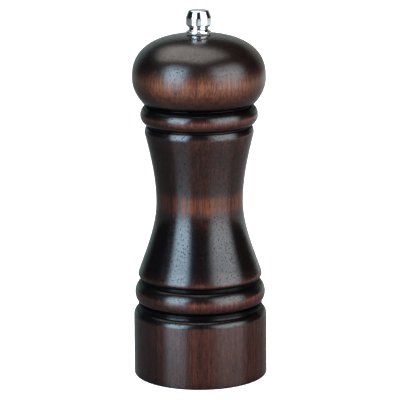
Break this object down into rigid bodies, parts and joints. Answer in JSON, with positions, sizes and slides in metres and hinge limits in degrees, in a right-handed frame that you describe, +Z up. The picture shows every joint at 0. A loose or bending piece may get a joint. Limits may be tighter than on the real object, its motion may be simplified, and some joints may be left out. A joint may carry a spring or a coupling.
{
  "type": "pepper mill",
  "caption": "Turned dark-walnut pepper mill: waisted body with beads and a flared base, a round head that turns the grinder, and a small chromed adjusting knob on top.",
  "frame": {"origin": "centre of the foot, on the surface that the mill stands on", "axes": "+Z up along the turning axis, towards the knob; +X and +Y across, with the bridge's strap along X"},
  "size_m": [0.0554, 0.0554, 0.1528],
  "materials": {
    "walnut": "dark walnut stain under semi-gloss clear lacquer",
    "chrome_plate": "polished chrome plate",
    "zinc_steel": "zinc-plated pressed steel",
    "spring_steel": "drawn spring wire",
    "burr_steel": "dark hardened carbon steel, lightly oiled",
    "aluminium": "drawn bar, plain",
    "nylon": "natural nylon"
  },
  "bodies": {
    "body": {"mill_body": "walnut", "stator": "burr_steel", "stator_screw_1": "zinc_steel", "stator_screw_2": "zinc_steel", "bridge": "zinc_steel", "bridge_screw_1": "zinc_steel", "bridge_screw_2": "zinc_steel"},
    "spindle": {"spring": "spring_steel", "spring_washer": "nylon"},
    "shaft": {"drive_shaft": "aluminium", "rotor": "burr_steel", "rotor_washer": "zinc_steel", "rotor_nut": "zinc_steel"},
    "head": {"mill_head": "walnut", "turn_plate": "zinc_steel", "turn_plate_screw_1": "zinc_steel", "turn_plate_screw_2": "zinc_steel", "turn_plate_screw_3": "zinc_steel"},
    "knob_seat": {"knob_washer": "nylon"},
    "knob": {"knob": "chrome_plate"}
  },
  "joints": [
    {"name": "head_turn", "type": "hinge", "parent": "body", "child": "spindle", "pos_m": [0, 0, 0.1142], "axis": [0, 0, 1], "continuous": true},
    {"name": "grind_adjust", "type": "slide", "parent": "spindle", "child": "shaft", "axis": [0, 0, 1], "range_m": [-0.0012, 0.0008], "deforming": ["spring"]},
    {"name": "head_lift", "type": "slide", "parent": "spindle", "child": "head", "axis": [0, 0, 1], "range_m": [0, 0.06]},
    {"name": "knob_lift", "type": "slide", "parent": "head", "child": "knob_seat", "axis": [0, 0, 1], "range_m": [0, 0.02]},
    {"name": "knob_turn", "type": "hinge", "parent": "knob_seat", "child": "knob", "pos_m": [0, 0, 0.1435], "axis": [0, 0, 1], "range_deg": [-360, 540]}
  ],
  "couplings": [
    {"joint": "knob_turn", "follows": "grind_adjust", "rad_per_m": -7854}
  ]
}
